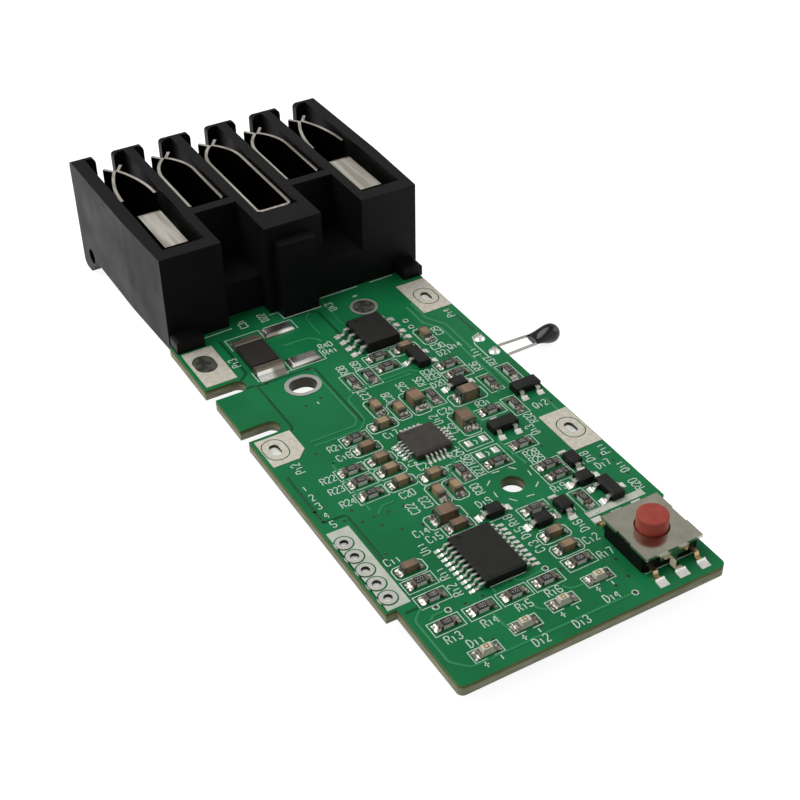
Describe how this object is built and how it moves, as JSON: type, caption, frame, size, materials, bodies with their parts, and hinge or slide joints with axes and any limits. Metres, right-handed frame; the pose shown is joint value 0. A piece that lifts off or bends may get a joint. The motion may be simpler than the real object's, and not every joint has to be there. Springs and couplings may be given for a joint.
{
  "type": "battery charging board",
  "caption": "Green circuit board with small chips, a red push button and an open black terminal housing with spring fork contacts at its rear end.",
  "frame": {"origin": "centre of the screw hole at the board's top face", "axes": "+Z out of the board's component side along the screw hole, +Y along the board towards the terminal housing, +X to the right"},
  "size_m": [0.0395, 0.0825, 0.0139],
  "materials": {
    "solder_mask": "glossy green solder mask over glass-fibre laminate",
    "tinned_copper": "tinned copper, satin",
    "plug_resin": "dark resin",
    "black_moulding": "fine matte black moulding",
    "tinned_bronze": "tin-plated spring bronze, satin",
    "switch_moulding": "matte black moulding",
    "switch_steel": "satin rolled sheet",
    "button_red": "matte red-brown moulding",
    "dome_steel": "bright spring steel",
    "lead_metal": "tinned lead metal",
    "chip_moulding": "matt charcoal moulding compound",
    "resistor_ceramic": "white alumina",
    "resistor_glaze": "black glaze",
    "end_tin": "matt tin",
    "capacitor_ceramic": "brown ceramic",
    "solder": "bright solder",
    "shunt_moulding": "dark coating",
    "lamp_base": "cream laminate",
    "lamp_lens": "clear yellowish resin",
    "bead_resin": "dark epoxy",
    "leg_wire": "tinned wire"
  },
  "bodies": {
    "base": {"board": "solder_mask", "plated_holes": "tinned_copper", "hole_plugs": "plug_resin", "cell_pads": "tinned_copper", "terminal_housing": "black_moulding", "contact_1": "tinned_bronze", "contact_2": "tinned_bronze", "contact_3": "tinned_bronze", "contact_4": "tinned_bronze", "contact_5": "tinned_bronze", "switch_base": "switch_moulding", "switch_cover": "switch_steel", "switch_dome": "dome_steel", "switch_terminals": "lead_metal", "control_chip": "chip_moulding", "control_leads": "lead_metal", "meter_chip": "chip_moulding", "meter_leads": "lead_metal", "gate_chip": "chip_moulding", "gate_leads": "lead_metal", "transistor_bodies": "chip_moulding", "transistor_leads": "lead_metal", "diode_bodies": "chip_moulding", "diode_leads": "lead_metal", "resistor_bodies": "resistor_ceramic", "resistor_coats": "resistor_glaze", "resistor_ends": "end_tin", "capacitor_bodies": "capacitor_ceramic", "capacitor_ends": "end_tin", "large_capacitor_bodies": "capacitor_ceramic", "large_capacitor_ends": "end_tin", "chip_solder": "solder", "lead_solder": "solder", "bare_pads": "solder", "shunt_body": "shunt_moulding", "shunt_ends": "end_tin", "land_solder": "solder", "lamp_bases": "lamp_base", "lamp_lenses": "lamp_lens", "sensor_legs": "leg_wire", "sensor_bead": "bead_resin", "sensor_solder": "solder"},
    "button": {"switch_button": "button_red"}
  },
  "joints": [
    {"name": "button_press", "type": "slide", "parent": "base", "child": "button", "axis": [0, 0, -1], "range_m": [0, 0.00025], "stiffness_N_per_m": 6400}
  ]
}
